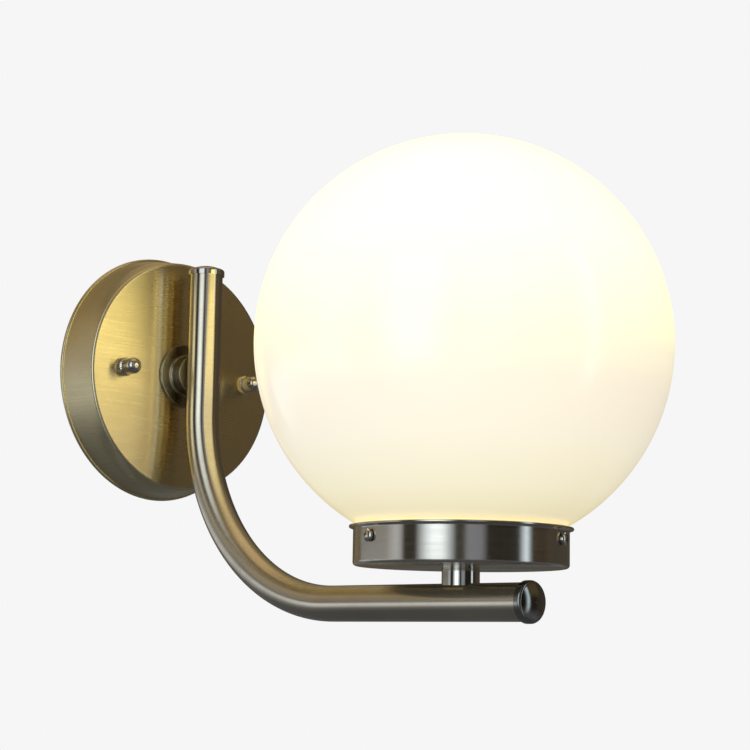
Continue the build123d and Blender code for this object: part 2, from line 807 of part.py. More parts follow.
save("terminal_block", make_terminal_block(), plastic)
save("terminal_clamps", Compound([make_block_clamp(pole) for pole in (-1, 0, 1)]), brass)
save("terminal_block_screws",
     Compound([make_block_screw(-block_screw_x), make_block_screw(block_screw_x)]), chrome)
save("earth_lug", make_earth_lug(), brass)
save("earth_screw", make_earth_screw(), brass)
wires = {
    "line_wire": (make_lamp_wire(-1), brown),
    "neutral_wire": (make_lamp_wire(1), blue),
    "earth_wire": (make_earth_wire(), green),
}
for wire_name, ((wire_solid, wire_length), wire_colour) in wires.items():
    section_area = math.pi * wire_radius ** 2
    print(f"{wire_name}: {wire_length:.1f} mm long, volume / (section x length) = "
          f"{wire_solid.volume / (section_area * wire_length):.4f}")
    save(wire_name, wire_solid, wire_colour)
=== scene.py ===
import math
import bmesh
import bpy
from mathutils import Matrix, Vector


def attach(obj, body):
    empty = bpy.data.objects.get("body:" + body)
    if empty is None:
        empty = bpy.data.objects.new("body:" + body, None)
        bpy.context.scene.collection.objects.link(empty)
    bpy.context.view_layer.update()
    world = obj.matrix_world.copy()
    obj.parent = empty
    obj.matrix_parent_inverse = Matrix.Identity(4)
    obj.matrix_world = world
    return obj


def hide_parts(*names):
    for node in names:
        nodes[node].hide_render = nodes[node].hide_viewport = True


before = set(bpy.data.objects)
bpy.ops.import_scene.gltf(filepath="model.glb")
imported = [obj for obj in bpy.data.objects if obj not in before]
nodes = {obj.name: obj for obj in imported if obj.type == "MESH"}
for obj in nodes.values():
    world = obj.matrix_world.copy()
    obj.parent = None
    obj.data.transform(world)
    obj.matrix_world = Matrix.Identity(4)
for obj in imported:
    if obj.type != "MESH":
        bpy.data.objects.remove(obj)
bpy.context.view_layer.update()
scene = bpy.context.scene
mm = 0.001
print("frame loaded,", len(nodes), "nodes")


def hexColour(text, alpha=1.0):
    # sRGB hex to the linear values that the shaders take
    parts = [int(text[i:i + 2], 16) / 255 for i in (1, 3, 5)]
    return tuple(p / 12.92 if p <= 0.04045 else ((p + 0.055) / 1.055) ** 2.4 for p in parts) + (alpha,)


def glowColour(brightness, text):
    return tuple(brightness * c for c in hexColour(text)[:3]) + (1.0,)


def addNode(tree, kind, values=None, links=None, **settings):
    # a link comes from a socket, or from a node's first output
    node = tree.nodes.new(kind)
    for name, value in settings.items():
        setattr(node, name, value)
    for name, value in (values or {}).items():
        node.inputs[name].default_value = value
    for name, source in (links or {}).items():
        socket = source if isinstance(source, bpy.types.NodeSocket) else source.outputs[0]
        tree.links.new(socket, node.inputs[name])
    return node


def makeObject(name, mesh):
    piece = bpy.data.objects.new(name, mesh)
    scene.collection.objects.link(piece)
    return piece


def keepMesh(name, bm):
    mesh = bpy.data.meshes.new(name)
    bm.to_mesh(mesh)
    bm.free()
    return mesh


def newMaterial(name):
    material = bpy.data.materials.new(name)
    material.use_nodes = True
    material.node_tree.nodes.clear()
    return material, material.node_tree


def glowRamp(tree, share, stops):
    # colours along a share from 0 to 1, which may be brighter than white: place, brightness and tint
    ramp = addNode(tree, "ShaderNodeValToRGB", links={"Fac": share})
    elements = ramp.color_ramp.elements
    while len(elements) > 1:
        elements.remove(elements[-1])
    for number, (place, brightness, tint) in enumerate(stops):
        stop = elements.new(place) if number else elements[0]
        stop.position = place
        stop.color = glowColour(brightness, tint)
    return ramp


# Camera: a long lens, left of the light and a little under it, looking slightly up

cameraSetup = {
    "place": (-670.52, -825.93, -149.90),
    "right": (0.69716, -0.71671, 0.01733),
    "up": (-0.11590, -0.08883, 0.98928),
    "forward": (0.70749, 0.69169, 0.14500),
    "lens": 91.2,
    "sensor": 36.0,
    "clip": (0.05, 50),     # metres
}


def placeCamera():
    s = cameraSetup
    data = bpy.data.cameras.new("shopCamera")
    data.lens, data.sensor_width = s["lens"], s["sensor"]
    data.clip_start, data.clip_end = s["clip"]
    camera = makeObject("shopCamera", data)
    right, up, forward = (Vector(s[way]).normalized() for way in ("right", "up", "forward"))
    turn = Matrix((right, up, -forward)).transposed().to_4x4()
    camera.matrix_world = Matrix.Translation(Vector(s["place"]) * mm) @ turn
    scene.camera = camera


placeCamera()
scene.view_settings.view_transform = "Standard"
print("camera placed")


# Surroundings: white to the camera, and a plain room round the light for the metal to mirror

room = {
    "radius": 2.6,          # metres
    "backdrop": "#F6F6F6",
    "floorDepth": 1.25,     # how far the floor lies under the wall plate
    "floorHalf": 30,
    "ambient": (0.30, "#E9EDF2"),
    "softEdge": 5,          # degrees over which a layer begins
    # the room's walls by compass angle, in degrees from +X towards +Y: brightness and tint
    "walls": [
        (0, 0.07, "#FFF6DC"), (62, 0.10, "#FFF6DC"), (80, 0.20, "#FFF2D2"), (95, 0.11, "#FFF2D2"),
        (140, 0.13, "#FFF8E4"), (155, 0.75, "#E6EEFF"), (160, 0.45, "#E6EEFF"), (165, 0.03, "#FFFFE8"),
        (178, 0.03, "#FFFFE8"), (188, 1.20, "#DCEBFF"), (197, 2.50, "#DCEBFF"), (206, 2.50, "#DCEBFF"),
        (213, 1.20, "#DCEBFF"), (221, 0.05, "#FFFFE8"), (227, 0.05, "#FFFFE8"), (232, 0.42, "#DCE6FF"),
        (245, 0.38, "#DCE6FF"), (252, 0.02, "#FFF3D8"), (283, 0.02, "#FFF3D8"), (287, 0.90, "#D2E6FF"),
        (292, 1.90, "#D2E6FF"), (296, 0.60, "#D2E6FF"), (299, 0.04, "#FFE6D8"), (314, 0.04, "#FFE6D8"),
        (322, 0.07, "#FFEEDC"), (345, 0.08, "#FFEEDC"),
    ],
    # what lies over and under the walls: sines of the height angle where it begins and is full, brightness,
    # tint, and the compass angles that it fills
    "layers": [
        ("haze", 0.08, 0.42, 0.38, "#FFEBC8", (48, 165)),
        ("blind", 0.08, 0.17, 1.45, "#DCEBFF", (187, 212)),
        ("lampGlow", 0.08, 0.24, 0.16, "#FFE0A8", (298, 335)),
        ("table", 0.02, -0.10, 1.00, "#E2ECFF", (88, 165)),
        ("ceiling", 0.50, 0.66, 0.22, "#FFE9C0", (0, 360)),
        ("overhead", 0.84, 0.95, 0.62, "#FFE6B8", (0, 360)),
        ("ground", -0.20, -0.40, 0.20, "#E6EEFF", (0, 360)),
        ("underfoot", -0.42, -0.60, 0.105, "#E6EEFF", (0, 360)),
    ],
}


def paintWorld():
    # an even pale light, and the plain backdrop for whatever looks past the room
    world = bpy.data.worlds.new("daylight")
    scene.world = world
    world.use_nodes = True
    tree = world.node_tree
    tree.nodes.clear()
    rays = addNode(tree, "ShaderNodeLightPath").outputs
    seen = rays["Is Camera Ray"]
    for kind in ("Is Glossy Ray", "Is Transmission Ray"):
        seen = addNode(tree, "ShaderNodeMath", links={0: seen, 1: rays[kind]}, operation="MAXIMUM")
    strength, tint = room["ambient"]
    soft = addNode(tree, "ShaderNodeBackground", {"Color": hexColour(tint), "Strength": strength})
    white = addNode(tree, "ShaderNodeBackground", {"Color": hexColour(room["backdrop"]), "Strength": 1.0})
    mixed = addNode(tree, "ShaderNodeMixShader", links={0: seen, 1: soft, 2: white})
    addNode(tree, "ShaderNodeOutputWorld", links={"Surface": mixed})


def layFloor():
    # plain paper, far below a light that hangs on a wall
    mesh = bpy.data.meshes.new("floor")
    w, z = room["floorHalf"], -room["floorDepth"]
    mesh.from_pydata([(-w, -w, z), (w, -w, z), (w, w, z), (-w, w, z)], [], [(0, 1, 2, 3)])
    paper, tree = newMaterial("palePaperFloor")
    rays = addNode(tree, "ShaderNodeLightPath")
    matt = addNode(tree, "ShaderNodeBsdfDiffuse", {"Color": hexColour(room["backdrop"])})
    pale = addNode(tree, "ShaderNodeEmission", {"Color": hexColour(room["backdrop"]), "Strength": 1.0})
    mixed = addNode(tree, "ShaderNodeMixShader", links={0: rays.outputs["Is Camera Ray"], 1: matt, 2: pale})
    addNode(tree, "ShaderNodeOutputMaterial", links={"Surface": mixed})
    mesh.materials.append(paper)
    floor = makeObject("floor", mesh)
    floor.visible_glossy = False    # the metal mirrors the room shell's ground in its place


def paintWalls():
    paint, tree = newMaterial("roomWalls")
    place = addNode(tree, "ShaderNodeTexCoord")
    parts = addNode(tree, "ShaderNodeSeparateXYZ", links={0: place.outputs["Object"]})
    angle = addNode(tree, "ShaderNodeMath", links={0: parts.outputs["Y"], 1: parts.outputs["X"]},
                    operation="ARCTAN2")
    turns = addNode(tree, "ShaderNodeMath", {1: 1 / math.tau, 2: 1.0}, {0: angle}, operation="MULTIPLY_ADD")
    turns = addNode(tree, "ShaderNodeMath", links={0: turns}, operation="FRACT")
    colour = glowRamp(tree, turns,
                      [(degrees / 360, brightness, tint) for degrees, brightness, tint in room["walls"]])
    height = addNode(tree, "ShaderNodeMath", {1: 1 / room["radius"]}, {0: parts.outputs["Z"]},
                     operation="MULTIPLY")
    for name, begins, full, brightness, tint, compass in room["layers"]:
        share = addNode(tree, "ShaderNodeMapRange", {1: begins, 2: full}, {0: height}, clamp=True, label=name)
        for degrees, inner in zip(compass, (room["softEdge"], -room["softEdge"])):
            if 0 < degrees < 360:
                side = addNode(tree, "ShaderNodeMapRange", {1: degrees / 360, 2: (degrees + inner) / 360},
                               {0: turns}, clamp=True)
                share = addNode(tree, "ShaderNodeMath", links={0: share, 1: side}, operation="MULTIPLY")
        colour = addNode(tree, "ShaderNodeMix", {7: glowColour(brightness, tint)}, {0: share, 6: colour},
                         data_type="RGBA").outputs[2]
    glow = addNode(tree, "ShaderNodeEmission", {"Strength": 1.0}, {"Color": colour})
    addNode(tree, "ShaderNodeOutputMaterial", links={"Surface": glow})
    return paint


def raiseRoom():
    # a big shell round the light, which only shows in the metal and the glass
    bm = bmesh.new()
    bmesh.ops.create_uvsphere(bm, u_segments=48, v_segments=24, radius=room["radius"])
    for face in bm.faces:
        face.smooth = True
    shell = makeObject("roomShell", keepMesh("roomShell", bm))
    for kind in ("camera", "diffuse", "transmission", "shadow", "volume_scatter"):
        setattr(shell, "visible_" + kind, False)
    shell.data.materials.append(paintWalls())


softboxes = [
    # name, place and aim in metres, size, watts, colour
    ("leftSoftbox", (-1.50, -0.62, 0.10), (0, -0.16, -0.02), (0.60, 0.75), 5.4, "#DEEAFF"),
    ("frontSoftbox", (-0.55, -1.75, 0.75), (0, -0.16, -0.02), (0.90, 0.60), 4.4, "#FFF6D6"),
]


def hangSoftboxes():
    for name, place, aim, size, watts, colour in softboxes:
        data = bpy.data.lights.new(name, "AREA")
        data.shape = "RECTANGLE"
        data.size, data.size_y = size
        data.energy = watts
        data.color = hexColour(colour)[:3]
        lamp = makeObject(name, data)
        lamp.location = place
        lamp.rotation_euler = (Vector(aim) - Vector(place)).to_track_quat("-Z", "Y").to_euler()
        lamp.visible_camera = False
        lamp.visible_glossy = False     # the room shell holds their mirror images


paintWorld()
layFloor()
raiseRoom()
hangSoftboxes()
print("surroundings ready")


# Materials

def addSurface(tree, values, links):
    # the material's shader: its plain values, and what drives the others
    shader = addNode(tree, "ShaderNodeBsdfPrincipled", values, links)
    addNode(tree, "ShaderNodeOutputMaterial", links={"Surface": shader})


satinFinish = {
    "smudge": 0.90,             # handling marks dull the plate to this share of its brightness
    "smudgeSize": 35.71,        # mm
    "smudgeScuff": 0.035,       # and roughen it by this
    "grainPitch": 0.7,          # real satin lines are near 0.1 mm; drawn coarser so that they show
    "grainRun": 33.33,          # how far a line runs on
    "grainHeight": 0.003,
}


def grainVector(tree, way):
    # a coordinate that runs fast across the grain and slowly along it, in units of the grain's pitch
    place = addNode(tree, "ShaderNodeTexCoord").outputs["Object"]
    slow = addNode(tree, "ShaderNodeVectorMath", {1: [1 / (satinFinish["grainRun"] * mm)] * 3}, {0: place},
                   operation="MULTIPLY")
    parts = addNode(tree, "ShaderNodeSeparateXYZ", links={0: place})
    slowParts = addNode(tree, "ShaderNodeSeparateXYZ", links={0: slow})
    across = parts.outputs["Y" if way == "depth" else "Z"]
    if way == "along":      # rings round a bent tube, from the tube's own length
        across = addNode(tree, "ShaderNodeAttribute", attribute_name="along").outputs["Fac"]
    fast = addNode(tree, "ShaderNodeMath", {1: 1 / (satinFinish["grainPitch"] * mm)}, {0: across},
                   operation="MULTIPLY")
    return addNode(tree, "ShaderNodeCombineXYZ", links={0: fast, 1: slowParts.outputs["X"],
                                                        2: slowParts.outputs["Z" if way == "depth" else "Y"]})


def satinNickel(name, way, colour, low, high, oneWay, crown=0.0):
    # brushed nickel plate: mirror images are drawn out across fine lines, and stay crisp along them. oneWay
    # is how far; low and high are the roughness of smooth and of scuffed spots. A face that was brushed on a
    # belt is a little crowned across it: crown is its lean, in radians a metre from the middle
    s = satinFinish
    material, tree = newMaterial(name)
    place = addNode(tree, "ShaderNodeTexCoord").outputs["Object"]
    grain = addNode(tree, "ShaderNodeTexNoise", {"Scale": 1.0, "Detail": 3.0, "Roughness": 0.6},
                    {"Vector": grainVector(tree, way)})
    smudge = addNode(tree, "ShaderNodeTexNoise",
                     {"Scale": 1 / (s["smudgeSize"] * mm), "Detail": 4.0, "Roughness": 0.55},
                     {"Vector": place})
    patch = addNode(tree, "ShaderNodeMapRange", {1: 0.35, 2: 0.70}, {0: smudge}, clamp=True)
    tint = addNode(tree, "ShaderNodeMix", {6: hexColour(colour), 7: glowColour(s["smudge"], colour)},
                   {0: patch}, data_type="RGBA")
    rough = addNode(tree, "ShaderNodeMapRange", {1: 0.3, 2: 0.7, 3: low, 4: high}, {0: grain})
    total = addNode(tree, "ShaderNodeMath", {1: s["smudgeScuff"]}, {0: patch, 2: rough},
                    operation="MULTIPLY_ADD")
    bump = addNode(tree, "ShaderNodeBump", {"Strength": 0.35, "Distance": s["grainHeight"] * mm},
                   {"Height": grain})
    if crown:
        x = addNode(tree, "ShaderNodeSeparateXYZ", links={0: place}).outputs["X"]
        square = addNode(tree, "ShaderNodeMath", links={0: x, 1: x}, operation="MULTIPLY")
        dome = addNode(tree, "ShaderNodeMath", {1: -crown / 2}, {0: square}, operation="MULTIPLY")
        lean = addNode(tree, "ShaderNodeBump", {"Strength": 1.0, "Distance": 1.0}, {"Height": dome})
        tree.links.new(lean.outputs[0], bump.inputs["Normal"])
    values = {"Metallic": 1.0, "Anisotropic": oneWay}
    if way == "along":
        tangent = addNode(tree, "ShaderNodeTangent", direction_type="UV_MAP", uv_map="tubeMap")
    else:
        tangent = addNode(tree, "ShaderNodeTangent", direction_type="RADIAL",
                          axis="Y" if way == "depth" else "Z")
        values["Anisotropic Rotation"] = 0.25
    addSurface(tree, values, {"Base Color": tint.outputs[2], "Roughness": total,
                              "Normal": bump, "Tangent": tangent})
    return material


metalFinishes = {
    # name: colour, marked colour, roughness low and high, mark size in mm, bump in mm
    "polishedNickel": ("#D9D2C2", "#C9C1AF", 0.05, 0.12, 7.0, 0.002),
    # painted dark reflection: the front plug is the top plug's polished nickel, drawn darker for the dark
    # room it mirrors
    "plugPaintedDarkReflection": ("#A5A296", "#918D80", 0.07, 0.14, 5.0, 0.002),
    "zincPlatedSteel": ("#C3C5C8", "#A9ACAF", 0.26, 0.40, 1.6, 0.010),
    "turnedBrass": ("#DDB25B", "#C2933F", 0.14, 0.26, 3.0, 0.004),
    "drawnBrassShell": ("#E0B968", "#B98C42", 0.18, 0.30, 2.2, 0.006),
}


def mottledSurface(tree, colour, worn, share, gloss, skin, bumpHeight, values):
    # its colour drifts towards a worn tone, and its skin is a little uneven
    tint = addNode(tree, "ShaderNodeMix", {6: hexColour(colour), 7: hexColour(worn)}, {0: share},
                   data_type="RGBA")
    bump = addNode(tree, "ShaderNodeBump", {"Strength": 0.4, "Distance": bumpHeight * mm}, {"Height": skin})
    addSurface(tree, values, {"Base Color": tint.outputs[2], "Roughness": gloss, "Normal": bump})


def plainMetal(name):
    # polished nickel: a clear dark-and-light mirror, a little warm; the front plug's copy is drawn darker, a
    # painted dark reflection of the room it mirrors; zinc: pale, with mottled crystals; brass: warm, with
    # dull handling marks
    colour, marked, low, high, size, height = metalFinishes[name]
    material, tree = newMaterial(name)
    place = addNode(tree, "ShaderNodeTexCoord")
    marks = addNode(tree, "ShaderNodeTexNoise", {"Scale": 1 / (size * mm), "Detail": 5.0, "Roughness": 0.62},
                    {"Vector": place.outputs["Object"]})
    spread = addNode(tree, "ShaderNodeMapRange", {1: 0.36, 2: 0.66}, {0: marks}, clamp=True)
    gloss = addNode(tree, "ShaderNodeMapRange", {3: low, 4: high}, {0: spread})
    mottledSurface(tree, colour, marked, spread, gloss, marks, height, {"Metallic": 1.0})
    return material


opalFinish = {
    "glass": "#F1E9D4",
    "roughness": (0.08, 0.16),
    "driftSize": 111.1,     # mm; the glow and the gloss drift slowly over the ball
    "drift": 6.0,
    "rippleSize": 16.67,    # what the blower's mould leaves
    "rippleHeight": 0.12,
    # the light that comes through it: height in mm, brightness and tint
    "glow": [(-98, 0.90, "#FFE7A5"), (-91, 0.74, "#FFEAB0"), (-83, 0.58, "#FFF1BE"),
             (-72, 0.61, "#FFF4CC"), (-50, 0.63, "#FFF4DC"), (-28, 0.65, "#FFF1DA"),
             (-8, 0.76, "#FFF4D2"), (15, 1.12, "#FFF6BC"), (40, 1.50, "#FFF4B0"),
             (80, 2.10, "#FFF19A")],
}


def opalGlass():
    # blown opal glass with a lamp inside: even milky glow, dimmer low down and warmer by the neck, under a
    # wet-looking gloss
    s = opalFinish
    material, tree = newMaterial("blownOpalGlass")
    place = addNode(tree, "ShaderNodeTexCoord").outputs["Object"]
    parts = addNode(tree, "ShaderNodeSeparateXYZ", links={0: place})
    wander = addNode(tree, "ShaderNodeTexNoise", {"Scale": 1 / (s["driftSize"] * mm), "Detail": 2.0},
                     {"Vector": place})
    height = addNode(tree, "ShaderNodeMath", {1: s["drift"] * mm}, {0: wander, 2: parts.outputs["Z"]},
                     operation="MULTIPLY_ADD")
    foot, top = s["glow"][0][0], s["glow"][-1][0]
    rise = addNode(tree, "ShaderNodeMapRange", {1: foot * mm, 2: top * mm}, {0: height}, clamp=True)
    glow = glowRamp(tree, rise, [((level - foot) / (top - foot), brightness, tint)
                                 for level, brightness, tint in s["glow"]])
    low, high = s["roughness"]
    gloss = addNode(tree, "ShaderNodeMapRange", {3: low, 4: high}, {0: wander})
    ripple = addNode(tree, "ShaderNodeTexNoise", {"Scale": 1 / (s["rippleSize"] * mm), "Detail": 2.0},
                     {"Vector": place})
    bump = addNode(tree, "ShaderNodeBump", {"Strength": 0.15, "Distance": s["rippleHeight"] * mm},
                   {"Height": ripple})
    addSurface(tree, {"Base Color": hexColour(s["glass"]), "IOR": 1.50, "Emission Strength": 1.0},
               {"Emission Color": glow, "Roughness": gloss, "Normal": bump})
    return material


mouldedFinishes = {
    # name: colour, aged colour, roughness, IOR, texture size in mm, bump in mm
    "frostedBulbGlass": ("#FBF8F0", "#F3EFE2", 0.42, 1.50, 0.6, 0.006),
    "whitePhenolicMoulding": ("#ECEAE4", "#E0DCD1", 0.30, 1.55, 1.1, 0.010),
    "glazedPorcelain": ("#F0EFEA", "#E4E1D8", 0.14, 1.54, 4.0, 0.020),
    "nylonBlock": ("#E4E3DC", "#D6D4CA", 0.48, 1.53, 0.8, 0.014),
    "blackVitrite": ("#0D0D10", "#1A1A1E", 0.10, 1.60, 3.0, 0.010),
    "brownPvcSleeve": ("#5B2E1A", "#4A2414", 0.38, 1.53, 1.5, 0.008),
    "bluePvcSleeve": ("#1C4FA0", "#163F85", 0.38, 1.53, 1.5, 0.008),
}
toneDriftSize = 18.18       # mm over which a moulded piece's tone drifts
mouldedBumpShare = 0.875    # moulds leave a softer skin than a tool does


def moulded(name):
    # glass, porcelain and plastics: faint tone drift, and a skin as fine as the mould or the glaze
    colour, aged, rough, ior, size, height = mouldedFinishes[name]
    material, tree = newMaterial(name)
    place = addNode(tree, "ShaderNodeTexCoord").outputs["Object"]
    drift = addNode(tree, "ShaderNodeTexNoise", {"Scale": 1 / (toneDriftSize * mm), "Detail": 3.0},
                    {"Vector": place})
    skin = addNode(tree, "ShaderNodeTexNoise", {"Scale": 1 / (size * mm), "Detail": 3.0}, {"Vector": place})
    spread = addNode(tree, "ShaderNodeMapRange", {1: 0.35, 2: 0.68}, {0: drift}, clamp=True)
    gloss = addNode(tree, "ShaderNodeMapRange", {3: rough * 0.85, 4: rough * 1.2}, {0: skin})
    mottledSurface(tree, colour, aged, spread, gloss, skin, height * mouldedBumpShare, {"IOR": ior})
    return material


earthFinish = {"yellow": "#E2C31E", "green": "#3C8A35", "pairs": 2, "yellowShare": 0.45, "roughness": 0.38}


def earthSleeve():
    # green and yellow PVC: pairs of stripes run along the wire, from the tube's own round-the-wire attribute
    s = earthFinish
    material, tree = newMaterial("greenYellowPvcSleeve")
    around = addNode(tree, "ShaderNodeAttribute", attribute_name="around")
    wave = addNode(tree, "ShaderNodeMath", {1: s["pairs"]}, {0: around.outputs["Fac"]}, operation="MULTIPLY")
    wave = addNode(tree, "ShaderNodeMath", links={0: wave}, operation="FRACT")
    stripe = addNode(tree, "ShaderNodeMath", {1: s["yellowShare"]}, {0: wave}, operation="GREATER_THAN")
    tint = addNode(tree, "ShaderNodeMix", {6: hexColour(s["yellow"]), 7: hexColour(s["green"])},
                   {0: stripe}, data_type="RGBA")
    addSurface(tree, {"Roughness": s["roughness"]}, {"Base Color": tint.outputs[2]})
    return material


finishes = {
    "canopy": satinNickel("satinNickelCanopy", "face", "#EEDCAB", 0.25, 0.31, 0.92, crown=1.8),
    "cup": satinNickel("satinNickelCup", "height", "#D6CDBB", 0.16, 0.22, 1.0),
    # painted shade: the standoff is the same satin nickel as the plate and tube, drawn darker for the shade
    # and dark reflections in the recess between them
    "bossPaintedShade": satinNickel("satinNickelBossPaintedShade", "depth", "#9A917B", 0.24, 0.34, 0.5),
    "tube": satinNickel("satinNickelTube", "along", "#DCCFB4", 0.17, 0.23, 1.0),
    "opal": opalGlass(),
    "earth": earthSleeve(),
}
finishes.update({name: plainMetal(name) for name in metalFinishes})
finishes.update({name: moulded(name) for name in mouldedFinishes})
print("materials ready,", len(finishes))


# Shared making: turned meshes, node trees and how a piece is fitted

def softenEdges(mesh, degrees=32):
    for face in mesh.polygons:
        face.use_smooth = True
    mesh.set_sharp_from_angle(angle=math.radians(degrees))


def turnProfile(name, profile, steps, closed=True):
    # revolves (radius, height) points in mm about Z; points on the axis become poles
    bm = bmesh.new()
    rings = []
    for radius, height in profile:
        if radius < 1e-6:
            rings.append([bm.verts.new((0, 0, height * mm))])
        else:
            rings.append([bm.verts.new((radius * mm * math.cos(math.tau * k / steps),
                                        radius * mm * math.sin(math.tau * k / steps), height * mm))
                          for k in range(steps)])
    pairs = list(zip(rings, rings[1:])) + ([(rings[-1], rings[0])] if closed else [])
    for low, high in pairs:
        if len(low) == len(high) == 1:
            continue
        for k in range(steps):
            j = (k + 1) % steps
            corners = [low[k % len(low)], low[j % len(low)], high[j % len(high)], high[k % len(high)]]
            unique = list(dict.fromkeys(corners))
            if len(unique) > 2:
                bm.faces.new(unique)
    bmesh.ops.remove_doubles(bm, verts=bm.verts, dist=1e-7)
    bmesh.ops.recalc_face_normals(bm, faces=bm.faces)
    return keepMesh(name, bm)


def arcPoints(centre, radius, startDegrees, endDegrees, count):
    angles = [math.radians(startDegrees + (endDegrees - startDegrees) * k / count) for k in range(count + 1)]
    return [(centre[0] + radius * math.cos(a), centre[1] + radius * math.sin(a)) for a in angles]


def startTree(name, inputs):
    tree = bpy.data.node_groups.new(name, "GeometryNodeTree")
    tree.is_modifier = True
    tree.interface.new_socket(name="Geometry", in_out="INPUT", socket_type="NodeSocketGeometry")
    for inputName, kind in inputs.items():
        tree.interface.new_socket(name=inputName, in_out="INPUT", socket_type="NodeSocket" + kind)
    tree.interface.new_socket(name="Geometry", in_out="OUTPUT", socket_type="NodeSocketGeometry")
    return tree, addNode(tree, "NodeGroupInput").outputs


def endTree(tree, geometry, finish):
    whole = addNode(tree, "GeometryNodeRealizeInstances", links={0: geometry})
    painted = addNode(tree, "GeometryNodeSetMaterial", links={"Geometry": whole, "Material": finish})
    addNode(tree, "NodeGroupOutput", links={0: painted})


def growTree(piece, tree, sizes, extra=()):
    # runs a tree on a piece and keeps the result as a plain mesh
    modifier = piece.modifiers.new(tree.name, "NODES")
    modifier.node_group = tree
    for item in tree.interface.items_tree:
        if item.in_out == "INPUT" and item.name in sizes:
            modifier[item.identifier] = sizes[item.name]
    for kind, settings in extra:
        more = piece.modifiers.new(kind.lower(), kind)
        for name, value in settings.items():
            setattr(more, name, value)
    bpy.context.view_layer.update()
    graph = bpy.context.evaluated_depsgraph_get()
    mesh = bpy.data.meshes.new_from_object(piece.evaluated_get(graph), preserve_all_data_layers=True,
                                           depsgraph=graph)
    piece.modifiers.clear()
    old = piece.data
    piece.data = mesh
    mesh.name = piece.name
    bpy.data.meshes.remove(old)
    return piece


def fitPiece(piece, body, nodeNames, place=None):
    # its place goes into its mesh, then it stands for its nodes and rides on its body
    if place is not None:
        piece.data.transform(place)
    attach(piece, body)
    if nodeNames:
        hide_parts(*nodeNames)
    return piece


def dress(nodeName, finish):
    # a node whose shape is right keeps its mesh and gets its finish
    mesh = nodes[nodeName].data
    mesh.materials.clear()
    mesh.materials.append(finishes[finish])
    for face in mesh.polygons:
        face.material_index = 0


reach = 229.0
globeAxis = Matrix.Translation((0, -reach * mm, 0))
outOfWall = Matrix.Rotation(math.radians(90), 4, "X")   # Z of a turned piece becomes -Y


# Opal globe: blown ball, straight neck, ground and fired lip

globeSizes = {
    "radius": 100.0,
    "wall": 3.0,
    "centreZ": -3.0,
    "neckRadius": 46.5,
    "lipZ": -108.0,
    "blend": (2.5, 1.5),        # degrees of the ball, outside and inside, that the neck's shoulder takes up
    "shoulder": [(0.35, 0.6), (0.0, -1.6)],     # out from the neck, and up from where the ball would meet it
    "steps": 160,
}


def makeGlobe():
    s = globeSizes
    outer, inner, neckOut = s["radius"], s["radius"] - s["wall"], s["neckRadius"]
    neckIn, half = neckOut - s["wall"], s["wall"] / 2
    angleOut, angleIn = (math.degrees(math.acos(neck / ball))
                         for neck, ball in ((neckOut, outer), (neckIn, inner)))
    joinOut, joinIn = (s["centreZ"] - ball * math.sin(math.radians(angle))
                       for ball, angle in ((outer, angleOut), (inner, angleIn)))
    blendOut, blendIn = s["blend"]
    profile = arcPoints((0, s["centreZ"]), outer, 90, -angleOut + blendOut, 70)
    profile += [(neckOut + out, joinOut + up) for out, up in s["shoulder"]] + [(neckOut, s["lipZ"] + half)]
    profile += arcPoints((neckOut - half, s["lipZ"] + half), half, 0, -180, 10)[1:] + [(neckIn, joinIn)]
    profile += arcPoints((0, s["centreZ"]), inner, -angleIn + blendIn, 90, 60)
    mesh = turnProfile("opalGlobe", profile, s["steps"], closed=False)
    softenEdges(mesh, 40)
    mesh.materials.append(finishes["opal"])
    return fitPiece(makeObject("opalGlobe", mesh), "globe", ["glass_globe"], globeAxis)


makeGlobe()
print("globe made")


# Arm tube and wires: one tree sweeps a round tube along a route of straight runs and tangent arcs

def routeTubeTree():
    tree, given = startTree("routeTube", {"tubeRadius": "Float", "sides": "Int", "bendSteps": "Int",
                                          "closedEnds": "Bool", "finish": "Material"})
    route = addNode(tree, "GeometryNodeMeshToCurve", links={"Mesh": given["Geometry"]})
    bend = addNode(tree, "GeometryNodeInputNamedAttribute", {"Name": "bendRadius"}, data_type="FLOAT")
    rounded = addNode(tree, "GeometryNodeFilletCurve", links={"Curve": route, "Radius": bend,
                                                              "Count": given["bendSteps"]}, mode="POLY")
    spot = addNode(tree, "GeometryNodeSplineParameter")
    measured = addNode(tree, "GeometryNodeStoreNamedAttribute", {"Name": "along"},
                       {"Geometry": rounded, "Value": spot.outputs["Length"]}, data_type="FLOAT")
    ring = addNode(tree, "GeometryNodeCurvePrimitiveCircle", links={"Resolution": given["sides"],
                                                                    "Radius": given["tubeRadius"]})
    ringSpot = addNode(tree, "GeometryNodeSplineParameter")
    marked = addNode(tree, "GeometryNodeStoreNamedAttribute", {"Name": "around"},
                     {"Geometry": ring, "Value": ringSpot.outputs["Factor"]}, data_type="FLOAT")
    swept = addNode(tree, "GeometryNodeCurveToMesh", links={"Curve": measured, "Profile Curve": marked,
                                                            "Fill Caps": given["closedEnds"]})
    lengthwise = addNode(tree, "GeometryNodeInputNamedAttribute", {"Name": "along"}, data_type="FLOAT")
    roundIt = addNode(tree, "GeometryNodeInputNamedAttribute", {"Name": "around"}, data_type="FLOAT")
    pair = addNode(tree, "ShaderNodeCombineXYZ", links={0: lengthwise, 1: roundIt})
    mapped = addNode(tree, "GeometryNodeStoreNamedAttribute", {"Name": "tubeMap"},
                     {"Geometry": swept, "Value": pair}, data_type="FLOAT2", domain="CORNER")
    smooth = addNode(tree, "GeometryNodeSetShadeSmooth", links={0: mapped})
    endTree(tree, smooth, given["finish"])
    return tree


tubeTree = routeTubeTree()


